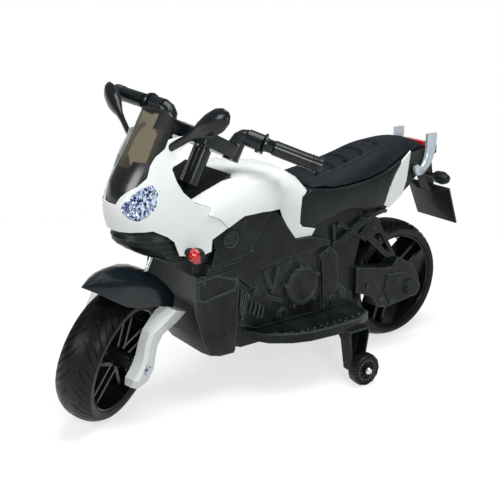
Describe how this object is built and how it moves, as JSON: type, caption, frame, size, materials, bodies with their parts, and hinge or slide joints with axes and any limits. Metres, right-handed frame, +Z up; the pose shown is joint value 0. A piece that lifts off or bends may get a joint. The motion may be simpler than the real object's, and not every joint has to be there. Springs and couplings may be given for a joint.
{
  "type": "kids electric motorcycle",
  "caption": "Battery ride-on motorcycle for small children in white and black plastic, with turned front wheel, quilted seat and stabiliser wheels.",
  "frame": {"origin": "middle of the overall box in plan, at floor level under the tyres", "axes": "+Y towards the rear of the bike, +X towards the rider's left, +Z up"},
  "size_m": [0.4824, 1.1104, 0.6662],
  "materials": {
    "battery_case": "dark grey case",
    "black_plastic": "black moulded plastic, satin with a fine grain",
    "clear_lens": "clear faceted acrylic with a blue cast",
    "engine_plastic": "charcoal moulded plastic, matt",
    "gloss_black": "black moulded plastic, glossy with a slight blue tint",
    "plated_reflector": "bright vacuum plating on plastic",
    "red_lens": "translucent red",
    "seat_leather": "black leatherette with a navy cast",
    "silver_plastic": "silver-blue painted plastic",
    "smoke_glass": "smoked clear acrylic",
    "tyre_plastic": "hard black plastic tread, matt",
    "white_plastic": "smooth moulded white, glossy",
    "zinc_steel": "bright zinc plate"
  },
  "bodies": {
    "chassis": {"battery": "battery_case", "belly_pan": "engine_plastic", "chassis_left": "black_plastic", "chassis_right": "black_plastic", "cockpit_liner": "black_plastic", "engine_left": "engine_plastic", "engine_right": "engine_plastic", "footboard_left": "black_plastic", "footboard_right": "black_plastic", "frame_spar_left": "gloss_black", "frame_spar_right": "gloss_black", "grab_rail": "silver_plastic", "headlight_lens_left": "clear_lens", "headlight_lens_right": "clear_lens", "mirror_left": "black_plastic", "mirror_right": "black_plastic", "motor_gearbox": "engine_plastic", "nose_duct": "black_plastic", "nose_fairing": "white_plastic", "plate_holder": "black_plastic", "rear_axle": "zinc_steel", "rear_frame": "black_plastic", "rear_indicator_left": "red_lens", "rear_indicator_right": "red_lens", "reflector": "plated_reflector", "seat_base": "black_plastic", "seat_cushion": "seat_leather", "side_panel_left": "black_plastic", "side_panel_right": "black_plastic", "stab_axle_left": "zinc_steel", "stab_axle_right": "zinc_steel", "stab_bracket_left": "black_plastic", "stab_bracket_right": "black_plastic", "swing_arm": "engine_plastic", "tail_insert_left": "white_plastic", "tail_insert_right": "white_plastic", "tail_light": "red_lens", "tail_tray": "black_plastic", "tank_cover": "white_plastic", "turn_lens_left": "red_lens", "turn_lens_right": "red_lens", "windshield": "smoke_glass"},
    "steering": {"fender": "gloss_black", "fork": "zinc_steel", "fork_cover_left": "white_plastic", "fork_cover_right": "white_plastic", "front_axle": "zinc_steel", "grip_left": "black_plastic", "grip_right": "black_plastic", "steering_stem": "zinc_steel", "top_clamp": "gloss_black"},
    "front_wheel": {"front_rim": "gloss_black", "front_tyre": "tyre_plastic"},
    "rear_wheel": {"rear_rim": "gloss_black", "rear_tyre": "tyre_plastic"},
    "stab_wheel_left": {"stab_wheel_left": "tyre_plastic"},
    "stab_wheel_right": {"stab_wheel_right": "tyre_plastic"},
    "pedal": {"accelerator_pedal": "black_plastic"},
    "power_button": {"power_button": "zinc_steel"},
    "horn_button": {"horn_button": "red_lens"}
  },
  "joints": [
    {"name": "steer", "type": "hinge", "parent": "chassis", "child": "steering", "pos_m": [0, -0.40496, 0.13668], "axis": [0, 0.454, 0.891], "range_deg": [-65, 0]},
    {"name": "front_wheel_spin", "type": "hinge", "parent": "steering", "child": "front_wheel", "pos_m": [0.00967, -0.41849, 0.14357], "axis": [0.8434, 0.4787, -0.2439], "continuous": true},
    {"name": "rear_wheel_spin", "type": "hinge", "parent": "chassis", "child": "rear_wheel", "pos_m": [0, 0.365, 0.15], "axis": [1, 0, 0], "continuous": true},
    {"name": "stab_left_spin", "type": "hinge", "parent": "chassis", "child": "stab_wheel_left", "pos_m": [0.207, 0.116, 0.0375], "axis": [1, 0, 0], "continuous": true},
    {"name": "stab_right_spin", "type": "hinge", "parent": "chassis", "child": "stab_wheel_right", "pos_m": [-0.207, 0.116, 0.0375], "axis": [1, 0, 0], "continuous": true},
    {"name": "pedal_press", "type": "hinge", "parent": "chassis", "child": "pedal", "pos_m": [-0.1325, 0.026, 0.144], "axis": [1, 0, 0], "range_deg": [0, 6], "stiffness_Nm_per_rad": 0.4, "springref_deg": -5.73},
    {"name": "power_press", "type": "slide", "parent": "steering", "child": "power_button", "axis": [0, -0.454, -0.891], "range_m": [0, 0.002], "stiffness_N_per_m": 150, "springref_m": -0.002},
    {"name": "horn_press", "type": "slide", "parent": "steering", "child": "horn_button", "axis": [-0.0112, 0.4383, 0.8988], "range_m": [0, 0.0015], "stiffness_N_per_m": 150, "springref_m": -0.002}
  ]
}
